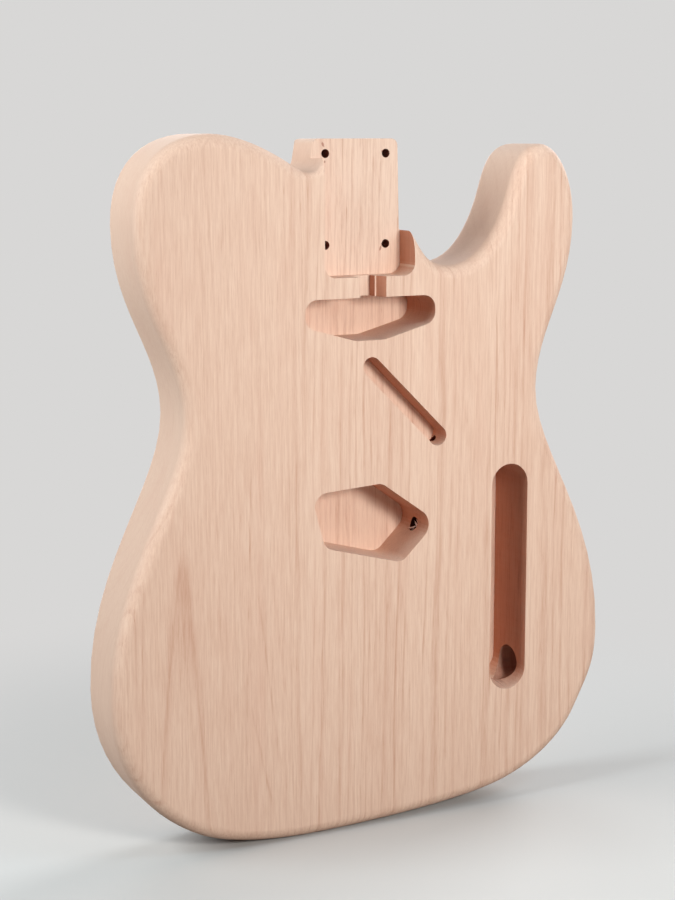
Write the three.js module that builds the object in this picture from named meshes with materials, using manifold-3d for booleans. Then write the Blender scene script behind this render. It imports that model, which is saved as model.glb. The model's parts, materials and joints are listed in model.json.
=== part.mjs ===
// Electric guitar body for a bolt-on neck, with a single cutaway: three edge-glued planks of a
// pale, open-pored hardwood, routed for a neck, two pickups, a control plate and a side jack.
//
// Units are millimetres. +Z runs from the tail to the neck end, the front face looks along -Y
// and the bass side lies at -X. The origin is at the middle of the tail's lowest line, below the
// centre of the body's bounding box.
import * as THREE from "three";
import { toCreasedNormals } from "three/addons/utils/BufferGeometryUtils.js";
import Module from "manifold-3d";

const wasm = await Module();
wasm.setup();

const THICKNESS = 45;
const EDGE_RADIUS = 8; // round-over on the front and the back edges
const HEEL_EDGE_RADIUS = 4; // the round-over runs out to this at the heel's bass side
const BODY_LENGTH = 401.7; // tail to the top of the bass shoulder
const HEEL_DROP = 2.8; // the neck heel ends this much below the bass shoulder

// Widths are reaches from the neck's centre line to each side.
const LOWER_BOUT = { bass: 156.8, treble: 161 };
const WAIST = { bass: 111.8, treble: 113.9 };
const UPPER_BOUT = { bass: 138.9, treble: 137.9 };
const SHOULDER_REACH = 93.5; // highest point of the bass shoulder
const HORN_REACH = 115; // tip of the treble horn

// Neck heel and pocket. Stations are distances down from the heel's end.
const HEEL_WIDTH = 55.3; // where the cutaway meets it
const HEEL_END_WIDTH = 53; // both sides draw in towards the end
const HEEL_CORNER_RADIUS = 4;
const NOTCH_RADIUS = 8; // hollow between the heel and the bass shoulder
const NOTCH_REACH = 36.4; // neck line out to the centre of the hollow
const NOTCH_DEPTH = 10.1; // heel end down to the centre of the hollow
const NOTCH_END = 123; // degrees clockwise from +X where the shoulder leaves the hollow
const CUTAWAY_STATION = 50.5; // heel end down to where the cutaway meets the heel
const POCKET = { width: 56.7, length: 76.1, depth: 18.2, cornerRadius: 7 };
const NECK_SCREW = { across: 38.1, along: 50.8, station: 33.6, diameter: 5 };

// Channel for the neck's truss rod, from the pocket to the neck pickup route.
const ROD_CHANNEL = {
  bassReach: 6.5,
  trebleReach: 6.1,
  depth: 13,
  ledgeDepth: 6.6,
  ledgeWidth: 0.9,
  flare: 3,
};

// Neck pickup route.
const NECK_ROUTE = {
  station: 87.6, // heel end down to the straight upper wall
  bassReach: 40.7,
  trebleReach: 41.7,
  height: 24.1,
  endHeight: 15.2,
  flatWidth: 18, // straight piece in the middle of the lower wall
  cornerRadius: 7.5,
  depth: 33.4,
};

// Slanted wire slot between the pickups.
const WIRE_SLOT = {
  station: 126.8,
  offset: 1, // upper end, to the treble side of the neck line
  run: 43,
  fall: 42.5,
  width: 11.3,
  depth: 15.5,
};

// Bridge pickup route.
const BRIDGE_ROUTE = {
  station: 194.1,
  width: 81.1,
  height: 47.7,
  cornerRadius: 8,
  trebleRadius: 9.5,
  depth: 32.1,
};

// Control slot and jack hole.
const CONTROL_SLOT = { offset: 93.5, width: 24.8, station: 189.8, length: 138.3, depth: 36 };
const JACK = { diameter: 20.5, aboveSlotEnd: 10.5, depth: 19 };

// Wire holes drilled between the cavities.
const WIRE_HOLE = { diameter: 4.5, depth: 12.5 };
const BRIDGE_WIRE_HOLE = { diameter: 8, station: 223.6, depth: 16.6 };

// Glue lines, as reaches from the neck line.
const GLUE_LINE = { bass: 41.8, treble: 80 };

const OVERRUN = 10; // cuts run this far past the faces they open
const CURVE_STEPS = 12;
const CORNER_STEPS = 4;
const ROUND_STEPS = 7;
const HOLE_SIDES = 32;
const SMALL_SIDES = 16;
const WELD = 0.001; // neighbouring points closer than this are one
const CREASE = Math.PI / 6; // faces that meet at less than this angle shade as one

const NECK_LINE = (LOWER_BOUT.bass - LOWER_BOUT.treble) / 2;
const HEEL_END = BODY_LENGTH - HEEL_DROP;
const FRONT = -THICKNESS / 2;
const HALF_HEEL = HEEL_WIDTH / 2;
const HALF_HEEL_END = HEEL_END_WIDTH / 2;

const BASS_CORNER = new THREE.Vector2(-HALF_HEEL_END, HEEL_END);
const TREBLE_CORNER = new THREE.Vector2(HALF_HEEL_END, HEEL_END);
const CUTAWAY_START = new THREE.Vector2(HALF_HEEL, HEEL_END - CUTAWAY_STATION);
const HOLLOW = new THREE.Vector2(-NOTCH_REACH, HEEL_END - NOTCH_DEPTH);

// Places on the outline that follow a reach or the body's length.
const bassReachShares = { tailCorner: 0.654, tail: 0.23 };
const trebleReachShares = { tailCorner: 0.587, hip: 0.906 };
const hornReachShares = { inner: 0.796, cutaway: 0.472 };
const heightShares = {
  bassUpperBout: 0.878,
  bassWaist: 0.62,
  bassLowerBout: 0.2366,
  bassTailCorner: 0.0258,
  trebleTailCorner: 0.029,
  trebleHip: 0.127,
  trebleLowerBout: 0.25,
  trebleWaist: 0.63,
  trebleUpperBout: 0.877,
  hornTip: 0.985,
  hornInner: 0.913,
  cutaway: 0.815,
};

// Corners of the bridge route, counter-clockwise from its bass end: sideways from the neck line as a
// share of its width, and down from its top as a share of its height.
const bridgeCornerShares = [
  [-0.354, 0.723],
  [0.255, 1],
  [0.539, 0.537],
  [0.0925, 0],
  [-0.461, 0.061],
];

// A point at a station, measured down from the heel's end, beside the neck line.
function atStation(x, station) {
  return new THREE.Vector2(x, HEEL_END - station);
}

// The outline's anchors run round the body from the heel's bass side. Each has its heading in
// degrees, and its handles as shares of the straight distance to the neighbour on that side.
function outlineAnchors(start) {
  const height = (key) => heightShares[key] * BODY_LENGTH;
  return [
    { x: start.x, z: start.y, heading: 147, aheadShare: 0.24 },
    { x: -SHOULDER_REACH, z: BODY_LENGTH, heading: 180, behindShare: 0.36, aheadShare: 0.35 },
    {
      x: -UPPER_BOUT.bass,
      z: height("bassUpperBout"),
      heading: 270,
      behindShare: 0.53,
      aheadShare: 0.44,
    },
    {
      x: -WAIST.bass,
      z: height("bassWaist"),
      heading: 270,
      behindShare: 0.34,
      aheadShare: 0.252,
    },
    {
      x: -LOWER_BOUT.bass,
      z: height("bassLowerBout"),
      heading: 270,
      behindShare: 0.438,
      aheadShare: 0.457,
    },
    {
      x: -LOWER_BOUT.bass * bassReachShares.tailCorner,
      z: height("bassTailCorner"),
      heading: -24.4,
      behindShare: 0.289,
      aheadShare: 0.269,
    },
    {
      x: -LOWER_BOUT.bass * bassReachShares.tail,
      z: 0,
      heading: 0,
      behindShare: 0.331,
      aheadShare: 0.304,
    },
    {
      x: LOWER_BOUT.treble * trebleReachShares.tailCorner,
      z: height("trebleTailCorner"),
      heading: 17.8,
      behindShare: 0.217,
      aheadShare: 0.393,
    },
    {
      x: LOWER_BOUT.treble * trebleReachShares.hip,
      z: height("trebleHip"),
      heading: 63.1,
      behindShare: 0.291,
      aheadShare: 0.4,
    },
    {
      x: LOWER_BOUT.treble,
      z: height("trebleLowerBout"),
      heading: 90,
      behindShare: 0.461,
      aheadShare: 0.447,
    },
    {
      x: WAIST.treble,
      z: height("trebleWaist"),
      heading: 90,
      behindShare: 0.238,
      aheadShare: 0.337,
    },
    {
      x: UPPER_BOUT.treble,
      z: height("trebleUpperBout"),
      heading: 90,
      behindShare: 0.426,
      aheadShare: 0.536,
    },
    {
      x: HORN_REACH,
      z: height("hornTip"),
      heading: 180,
      behindShare: 0.202,
      aheadShare: 0.452,
    },
    {
      x: HORN_REACH * hornReachShares.inner,
      z: height("hornInner"),
      heading: 252.5,
      behindShare: 0.335,
      aheadShare: 0.29,
    },
    {
      x: HORN_REACH * hornReachShares.cutaway,
      z: height("cutaway"),
      heading: 180,
      behindShare: 0.396,
      aheadShare: 0.487,
    },
    { x: CUTAWAY_START.x, z: CUTAWAY_START.y, heading: 126.7, behindShare: 0.436 },
  ];
}

// The heel's bass side runs from its corner into the hollow: the angles, seen from the hollow's
// centre, where that side meets the hollow and where the shoulder leaves it.
function hollowAngles() {
  const toHollow = HOLLOW.clone().sub(BASS_CORNER);
  const side = toHollow.angle() + Math.asin(NOTCH_RADIUS / toHollow.length());
  return { enter: side + Math.PI / 2, leave: -THREE.MathUtils.degToRad(NOTCH_END) };
}

function onHollow(angle) {
  return new THREE.Vector2(NOTCH_RADIUS, 0).rotateAround(new THREE.Vector2(), angle).add(HOLLOW);
}

// The body's outline seen from the front: the tapered heel, the hollow that its bass side runs
// into, then the bouts.
function bodyOutline() {
  const { enter, leave } = hollowAngles();
  const anchors = outlineAnchors(onHollow(leave));
  const shape = new THREE.Shape();
  shape.moveTo(CUTAWAY_START.x, CUTAWAY_START.y);
  shape.lineTo(TREBLE_CORNER.x, TREBLE_CORNER.y);
  shape.lineTo(BASS_CORNER.x, BASS_CORNER.y);
  shape.absarc(HOLLOW.x, HOLLOW.y, NOTCH_RADIUS, enter, leave, true);
  anchors.slice(1).forEach((to, i) => {
    const from = anchors[i];
    const chord = Math.hypot(to.x - from.x, to.z - from.z);
    const headingOut = THREE.MathUtils.degToRad(from.heading);
    const headingIn = THREE.MathUtils.degToRad(to.heading);
    const ahead = chord * from.aheadShare;
    const behind = chord * to.behindShare;
    shape.bezierCurveTo(
      from.x + ahead * Math.cos(headingOut),
      from.z + ahead * Math.sin(headingOut),
      to.x - behind * Math.cos(headingIn),
      to.z - behind * Math.sin(headingIn),
      to.x,
      to.z,
    );
  });
  return shape;
}

// A closed shape through corners in counter-clockwise order, each rounded by its radius, or
// left sharp without one. The first corner is a round one.
function roundedShape(corners) {
  const shape = new THREE.Shape();
  corners.forEach(({ at, radius }, i) => {
    if (!radius) {
      shape.lineTo(at.x, at.y);
      return;
    }
    const before = corners.at(i - 1).at.clone().sub(at).normalize();
    const after = corners[(i + 1) % corners.length].at.clone().sub(at).normalize();
    const half = before.angleTo(after) / 2;
    const centre = before.clone().add(after).setLength(radius / Math.sin(half)).add(at);
    const first = before.setLength(radius / Math.tan(half)).add(at).sub(centre).angle();
    const last = after.setLength(radius / Math.tan(half)).add(at).sub(centre).angle();
    shape.absarc(centre.x, centre.y, radius, first, last, false);
  });
  return shape;
}

// A slot with round ends of the given width between two centres.
function slotShape(from, to, width) {
  const along = to.clone().sub(from).angle();
  const radius = width / 2;
  const shape = new THREE.Shape();
  shape.absarc(to.x, to.y, radius, along - Math.PI / 2, along + Math.PI / 2, false);
  shape.absarc(from.x, from.y, radius, along + Math.PI / 2, along + Math.PI * 1.5, false);
  return shape;
}

// The points of a shape, counter-clockwise, with none so close to the one before that both are one.
function contourOf(shape, steps) {
  const points = shape.getPoints(steps);
  const apart = points.filter((point, i) => point.distanceTo(points.at(i - 1)) > WELD);
  return THREE.ShapeUtils.isClockWise(apart) ? apart.reverse() : apart;
}

// A solid through rings that have as many points each. The first and the last are its flat ends,
// whose outlines turn counter-clockwise as seen from outside the first.
function lofted(rings, firstOutline, lastOutline = firstOutline) {
  const count = firstOutline.length;
  const last = (rings.length - 1) * count;
  const triangles = [];
  for (let start = 0; start < last; start += count) {
    for (let i = 0; i < count; i++) {
      const here = start + i;
      const next = start + ((i + 1) % count);
      triangles.push(here, here + count, next + count, here, next + count, next);
    }
  }
  const { triangulateShape } = THREE.ShapeUtils;
  triangulateShape(firstOutline, []).forEach(([a, b, c]) => triangles.push(a, b, c));
  triangulateShape(lastOutline, []).forEach(([a, b, c]) => {
    triangles.push(last + c, last + b, last + a);
  });
  return new wasm.Manifold(
    new wasm.Mesh({
      numProp: 3,
      vertProperties: new Float32Array(rings.flat().flatMap((point) => point.toArray())),
      triVerts: new Uint32Array(triangles),
    }),
  );
}

// The shape, drawn as seen from the front, cut to a depth below the front face.
function routed(shape, depth, steps = CORNER_STEPS) {
  const outline = contourOf(shape, steps);
  const ringAt = (y) => outline.map((point) => new THREE.Vector3(point.x, y, point.y));
  return lofted([ringAt(FRONT - OVERRUN), ringAt(FRONT + depth)], outline);
}

// A drilled hole between two points.
function drilled(from, to, diameter, sides = HOLE_SIDES) {
  const outline = Array.from({ length: sides }, (_, i) =>
    new THREE.Vector2(diameter / 2, 0).rotateAround(new THREE.Vector2(), (i / sides) * 2 * Math.PI),
  );
  const upright = new THREE.Vector3(0, 0, 1);
  const turn = new THREE.Quaternion().setFromUnitVectors(upright, from.clone().sub(to).normalize());
  const ringAt = (centre) =>
    outline.map(({ x, y }) => new THREE.Vector3(x, y, 0).applyQuaternion(turn).add(centre));
  return lofted([ringAt(from), ringAt(to)], outline);
}

// The radius of the round-over at a point of the outline. It runs out towards the heel's bass side,
// in the hollow and across the heel's end, and is full everywhere else.
function edgeRadius({ x, y }) {
  if (y < CUTAWAY_START.y || x > HALF_HEEL_END) return EDGE_RADIUS;
  const { mapLinear, smoothstep, lerp } = THREE.MathUtils;
  const acrossHeel = mapLinear(x, HALF_HEEL_END, -HALF_HEEL_END, 0, 1);
  const alongHollow = smoothstep(-x, NOTCH_REACH, NOTCH_REACH + NOTCH_RADIUS);
  const runOut = x > -HALF_HEEL_END ? acrossHeel : 1 - alongHollow;
  return lerp(EDGE_RADIUS, HEEL_EDGE_RADIUS, runOut);
}

// The outline drawn in by a share of each point's round-over.
function drawnIn(outline, insetShare) {
  const inward = (from, to) => {
    const along = to.clone().sub(from).normalize();
    return new THREE.Vector2(-along.y, along.x);
  };
  return outline.map((point, i) => {
    const before = inward(outline.at(i - 1), point);
    const after = inward(point, outline[(i + 1) % outline.length]);
    const mitre = before.clone().add(after).divideScalar(1 + before.dot(after));
    return mitre.multiplyScalar(edgeRadius(point) * insetShare).add(point);
  });
}

// The whole body before any cut: the outline in full thickness with both edges rounded over.
function bodyBlank() {
  const outline = contourOf(bodyOutline(), CURVE_STEPS);
  const turns = Array.from({ length: ROUND_STEPS + 1 }, (_, i) => (i / ROUND_STEPS) * (Math.PI / 2));
  const layers = turns.map((turn) => ({
    line: drawnIn(outline, 1 - Math.sin(turn)),
    depths: outline.map((point) => edgeRadius(point) * (1 - Math.cos(turn))),
  }));
  const frontRings = layers.map(({ line, depths }) =>
    line.map((point, i) => new THREE.Vector3(point.x, FRONT + depths[i], point.y)),
  );
  const backRings = frontRings.map((ring) =>
    ring.map((point) => new THREE.Vector3(point.x, -point.y, point.z)),
  );
  return lofted([...frontRings, ...backRings.reverse()], layers[0].line);
}

// What rounds one upright corner of the heel, between its end and its side.
function heelCornerCut(corner, alongEnd, alongSide) {
  const across = alongEnd.clone().sub(corner).normalize();
  const down = alongSide.clone().sub(corner).normalize();
  const half = across.angleTo(down) / 2;
  const toCentre = across.clone().add(down).setLength(HEEL_CORNER_RADIUS / Math.sin(half));
  const centre = corner.clone().add(toCentre);
  const reach = HEEL_CORNER_RADIUS / Math.tan(half);
  const onEnd = across.multiplyScalar(reach).add(corner);
  const onSide = down.multiplyScalar(reach).add(corner);
  const offEnd = onEnd.clone().sub(centre).setLength(OVERRUN);
  const offSide = onSide.clone().sub(centre).setLength(OVERRUN);
  const first = offEnd.angle();
  const last = offSide.angle();

  const shape = new THREE.Shape();
  shape.absarc(centre.x, centre.y, HEEL_CORNER_RADIUS, first, last, corner.x > 0);
  shape.lineTo(onSide.x + offSide.x, onSide.y + offSide.y);
  shape.lineTo(corner.x + offSide.x + offEnd.x, corner.y + offSide.y + offEnd.y);
  shape.lineTo(onEnd.x + offEnd.x, onEnd.y + offEnd.y);
  return routed(shape, THICKNESS + OVERRUN);
}

function neckPocket() {
  const half = POCKET.width / 2;
  const radius = POCKET.cornerRadius;
  return routed(
    roundedShape([
      { at: atStation(-half, POCKET.length), radius },
      { at: atStation(half, POCKET.length), radius },
      { at: new THREE.Vector2(half, HEEL_END + OVERRUN) },
      { at: new THREE.Vector2(-half, HEEL_END + OVERRUN) },
    ]),
    POCKET.depth,
  );
}

// The channel is a square groove whose treble edge has a narrow ledge and a flare above it.
function rodChannel() {
  const { bassReach, trebleReach, depth, ledgeDepth, ledgeWidth, flare } = ROD_CHANNEL;
  const ledge = trebleReach + ledgeWidth;
  const shape = new THREE.Shape();
  shape.moveTo(-bassReach, FRONT - OVERRUN);
  shape.lineTo(ledge + flare, FRONT - OVERRUN);
  shape.lineTo(ledge + flare, FRONT);
  shape.lineTo(ledge, FRONT + ledgeDepth);
  shape.lineTo(trebleReach, FRONT + ledgeDepth);
  shape.lineTo(trebleReach, FRONT + depth);
  shape.lineTo(-bassReach, FRONT + depth);
  const outline = contourOf(shape, CORNER_STEPS);
  const upper = HEEL_END - POCKET.length + POCKET.cornerRadius;
  const lower = HEEL_END - NECK_ROUTE.station - POCKET.cornerRadius;
  const ringAt = (z) => outline.map(({ x, y }) => new THREE.Vector3(x, y, z));
  return lofted([ringAt(upper), ringAt(lower)], outline);
}

function neckRoute() {
  const { station, bassReach, trebleReach, height, endHeight, flatWidth, cornerRadius } = NECK_ROUTE;
  return routed(
    roundedShape([
      { at: atStation(-bassReach, station), radius: cornerRadius },
      { at: atStation(-bassReach, station + endHeight), radius: cornerRadius },
      { at: atStation(-flatWidth / 2, station + height), radius: cornerRadius },
      { at: atStation(flatWidth / 2, station + height), radius: cornerRadius },
      { at: atStation(trebleReach, station + endHeight), radius: cornerRadius },
      { at: atStation(trebleReach, station), radius: cornerRadius },
    ]),
    NECK_ROUTE.depth,
  );
}

function bridgeRoute() {
  const { station, width, height, cornerRadius, trebleRadius, depth } = BRIDGE_ROUTE;
  const corners = bridgeCornerShares.map(([across, down]) => ({
    at: atStation(across * width, station + down * height),
    radius: cornerRadius,
  }));
  corners[2].radius = trebleRadius;
  return routed(roundedShape(corners), depth);
}

// The slot and the drilled line that runs on from both its ends, from the neck pickup route to
// the control slot.
function wireSlot() {
  const { station, offset, run, fall, width, depth } = WIRE_SLOT;
  const from = atStation(offset, station);
  const to = atStation(offset + run, station + fall);
  const onLine = (share) => {
    const at = from.clone().lerp(to, share);
    return new THREE.Vector3(at.x, FRONT + WIRE_HOLE.depth, at.y);
  };
  const upShare = (NECK_ROUTE.station + NECK_ROUTE.height - WIRE_HOLE.diameter - station) / fall;
  const downShare = (CONTROL_SLOT.offset - offset) / run;
  const hole = drilled(onLine(upShare), onLine(downShare), WIRE_HOLE.diameter, SMALL_SIDES);
  return routed(slotShape(from, to, width), depth, ROUND_STEPS).add(hole);
}

function controlSlot() {
  const { offset, width, station, length, depth } = CONTROL_SLOT;
  const upper = atStation(offset, station + width / 2);
  const lower = atStation(offset, station + length - width / 2);
  return routed(slotShape(lower, upper, width), depth, ROUND_STEPS);
}

// The jack's hole runs from the control slot out through the treble side.
function jackHole() {
  const { offset, station, length } = CONTROL_SLOT;
  const at = atStation(offset, station + length - JACK.aboveSlotEnd);
  const from = new THREE.Vector3(at.x, FRONT + JACK.depth, at.y);
  const to = new THREE.Vector3(LOWER_BOUT.treble + OVERRUN, from.y, from.z);
  return drilled(from, to, JACK.diameter);
}

function bridgeWireHole() {
  const { diameter, station, depth } = BRIDGE_WIRE_HOLE;
  const at = atStation(0, station);
  const from = new THREE.Vector3(at.x, FRONT + depth, at.y);
  const to = new THREE.Vector3(CONTROL_SLOT.offset, from.y, from.z);
  return drilled(from, to, diameter, SMALL_SIDES);
}

function neckScrewHoles() {
  const { across, along, station, diameter } = NECK_SCREW;
  return [-0.5, 0.5].flatMap((x) =>
    [-0.5, 0.5].map((z) => {
      const at = atStation(x * across, station + z * along);
      const from = new THREE.Vector3(at.x, FRONT - OVERRUN, at.y);
      const to = new THREE.Vector3(at.x, THICKNESS / 2 + OVERRUN, at.y);
      return drilled(from, to, diameter, SMALL_SIDES);
    }),
  );
}

// The part of the body between two glue lines.
function plankBlock(left, right) {
  const shape = new THREE.Shape([
    new THREE.Vector2(left, -OVERRUN),
    new THREE.Vector2(right, -OVERRUN),
    new THREE.Vector2(right, BODY_LENGTH + OVERRUN),
    new THREE.Vector2(left, BODY_LENGTH + OVERRUN),
  ]);
  return routed(shape, THICKNESS + OVERRUN);
}

function plank(name, solid, color) {
  const { vertProperties, triVerts } = solid.getMesh();
  const geometry = new THREE.BufferGeometry();
  geometry.setAttribute("position", new THREE.BufferAttribute(vertProperties, 3));
  geometry.setIndex(new THREE.BufferAttribute(triVerts, 1));
  const material = new THREE.MeshStandardMaterial({ color, roughness: 0.7, metalness: 0 });
  const mesh = new THREE.Mesh(toCreasedNormals(geometry, CREASE), material);
  mesh.name = name;
  return mesh;
}

const cuts = [
  heelCornerCut(BASS_CORNER, TREBLE_CORNER, onHollow(hollowAngles().enter)),
  heelCornerCut(TREBLE_CORNER, BASS_CORNER, CUTAWAY_START),
  neckPocket(),
  rodChannel(),
  neckRoute(),
  wireSlot(),
  bridgeRoute(),
  controlSlot(),
  jackHole(),
  bridgeWireHole(),
  ...neckScrewHoles(),
];
const routedBody = cuts.reduce((solid, cut) => solid.subtract(cut), bodyBlank());

const bassEdge = -LOWER_BOUT.bass - OVERRUN;
const trebleEdge = LOWER_BOUT.treble + OVERRUN;
const bassBlock = plankBlock(bassEdge, -GLUE_LINE.bass);
const centreBlock = plankBlock(-GLUE_LINE.bass, GLUE_LINE.treble);
const trebleBlock = plankBlock(GLUE_LINE.treble, trebleEdge);

const body = new THREE.Group();
body.add(
  plank("bass_plank", routedBody.intersect(bassBlock), 0xd9b9a0),
  plank("centre_plank", routedBody.intersect(centreBlock), 0xe2c1a8),
  plank("treble_plank", routedBody.intersect(trebleBlock), 0xdcbba2),
);
body.position.x = NECK_LINE;

const guitarBody = new THREE.Group();
guitarBody.add(body);

export default guitarBody;
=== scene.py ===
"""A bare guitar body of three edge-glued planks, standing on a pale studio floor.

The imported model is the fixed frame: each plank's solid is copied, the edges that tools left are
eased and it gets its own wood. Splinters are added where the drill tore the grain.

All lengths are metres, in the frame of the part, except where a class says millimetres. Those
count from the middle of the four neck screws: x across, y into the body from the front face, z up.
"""

import json
import logging
import math
from collections.abc import Iterator
from dataclasses import dataclass, field
from enum import Enum

import bmesh
import bpy
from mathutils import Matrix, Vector

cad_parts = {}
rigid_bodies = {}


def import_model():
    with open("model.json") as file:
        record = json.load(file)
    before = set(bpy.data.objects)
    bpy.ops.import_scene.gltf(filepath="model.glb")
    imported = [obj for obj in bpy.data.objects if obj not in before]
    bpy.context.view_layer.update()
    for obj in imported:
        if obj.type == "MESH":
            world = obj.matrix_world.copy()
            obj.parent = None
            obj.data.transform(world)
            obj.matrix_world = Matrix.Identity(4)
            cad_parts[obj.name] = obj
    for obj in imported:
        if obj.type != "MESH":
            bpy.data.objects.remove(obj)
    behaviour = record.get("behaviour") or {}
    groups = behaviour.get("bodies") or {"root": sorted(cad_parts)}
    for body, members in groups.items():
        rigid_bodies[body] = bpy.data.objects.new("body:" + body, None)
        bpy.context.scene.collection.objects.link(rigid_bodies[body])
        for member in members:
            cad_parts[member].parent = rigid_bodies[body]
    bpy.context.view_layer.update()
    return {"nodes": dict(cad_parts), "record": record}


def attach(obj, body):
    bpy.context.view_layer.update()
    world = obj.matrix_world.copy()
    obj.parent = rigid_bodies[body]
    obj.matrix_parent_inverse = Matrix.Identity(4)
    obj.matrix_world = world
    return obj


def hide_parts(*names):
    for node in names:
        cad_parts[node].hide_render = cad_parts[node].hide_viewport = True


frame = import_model()

LOG = logging.getLogger("guitar_body")
MM = 0.001
BODY = "root"

Triple = tuple[float, float, float]
Pair = tuple[float, float]


def linear(red: int, green: int, blue: int) -> Triple:
    """Turns a colour of 0 to 255 per channel into scene-linear values.

    Args:
        red: Red channel.
        green: Green channel.
        blue: Blue channel.

    Returns:
        The linear colour.
    """

    def one(level: int) -> float:
        """Decodes one channel."""
        share = level / 255
        return share / 12.92 if share <= 0.04045 else ((share + 0.055) / 1.055) ** 2.4

    return one(red), one(green), one(blue)


@dataclass(frozen=True)
class WorkFrame:
    """Where the neck's screw pattern and the front face lie in the part's frame."""

    neck_line: float = -2.1 * MM
    front: float = -22.5 * MM
    screw_height: float = 365.3 * MM

    def place(self, across: float, depth: float, up: float) -> Vector:
        """Turns millimetres from the screw pattern into a point of the part.

        Args:
            across: Distance to the treble side of the neck line.
            depth: Depth below the front face.
            up: Height above the pattern's centre.

        Returns:
            The point in metres.
        """
        shift = Vector((self.neck_line, self.front, self.screw_height))
        return shift + Vector((across, depth, up)) * MM

    def measure(self, point: Vector) -> Vector:
        """Turns a point of the part into millimetres from the screw pattern.

        Args:
            point: The point in metres.

        Returns:
            Across, depth and up in millimetres.
        """
        return (point - self.place(0, 0, 0)) / MM


WORK = WorkFrame()
NECK_SCREWS: Pair = (19.05, 25.4)


class Mark(Enum):
    """What the planks' faces are marked with: the router walls' tint (partly painted shade), painted
    light on route floors and painted shade inside holes.
    """

    # Router walls, whose tint is partly the cut wood's colour and partly painted shade.
    ROUTED_AND_SHADE = "routed"
    # Painted shade inside holes.
    HOLE_SHADE = "drilled"
    # Painted light on route floors and on walls that face up.
    CUT_PAINTED_LIGHT = "fresh"


class Signal:
    """A node socket that takes part in Python arithmetic."""

    def __init__(self, sheet: "Sheet", socket: bpy.types.NodeSocket) -> None:
        """Keeps the socket and the sheet that it is on."""
        self.sheet = sheet
        self.socket = socket

    def _math(self, operation: str, *values: "Signal | float") -> "Signal":
        """Adds one Math node.

        Args:
            operation: The node's operation.
            *values: The inputs in order.

        Returns:
            The node's value.
        """
        inputs = dict(enumerate(values))
        return self.sheet.node("ShaderNodeMath", {"operation": operation}, inputs)

    def __add__(self, other: "Signal | float") -> "Signal":
        """Adds."""
        return self._math("ADD", self, other)

    __radd__ = __add__

    def __sub__(self, other: "Signal | float") -> "Signal":
        """Subtracts."""
        return self._math("SUBTRACT", self, other)

    def __rsub__(self, other: float) -> "Signal":
        """Subtracts from a number."""
        return self._math("SUBTRACT", other, self)

    def __mul__(self, other: "Signal | float") -> "Signal":
        """Multiplies."""
        return self._math("MULTIPLY", self, other)

    __rmul__ = __mul__

    def __truediv__(self, other: "Signal | float") -> "Signal":
        """Divides."""
        return self._math("DIVIDE", self, other)

    def __rtruediv__(self, other: float) -> "Signal":
        """Divides a number."""
        return self._math("DIVIDE", other, self)

    def __abs__(self) -> "Signal":
        """Takes the size without the sign."""
        return self._math("ABSOLUTE", self)

    def most(self, other: "Signal | float") -> "Signal":
        """Takes the larger of two."""
        return self._math("MAXIMUM", self, other)

    def root(self) -> "Signal":
        """Takes the square root."""
        return self._math("SQRT", self)

    def fraction(self) -> "Signal":
        """Keeps what follows the decimal point."""
        return self._math("FRACT", self)

    def ramp(self, low: float, high: float) -> "Signal":
        """Rises smoothly from 0 at low to 1 at high, or falls where high is the smaller.

        Args:
            low: Value that gives 0.
            high: Value that gives 1.

        Returns:
            The share from 0 to 1.
        """
        flipped = high < low
        return self.sheet.node(
            "ShaderNodeMapRange",
            {"interpolation_type": "SMOOTHSTEP"},
            {
                "Value": self,
                "From Min": min(low, high),
                "From Max": max(low, high),
                "To Min": 1.0 if flipped else 0.0,
                "To Max": 0.0 if flipped else 1.0,
            },
        )


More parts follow.
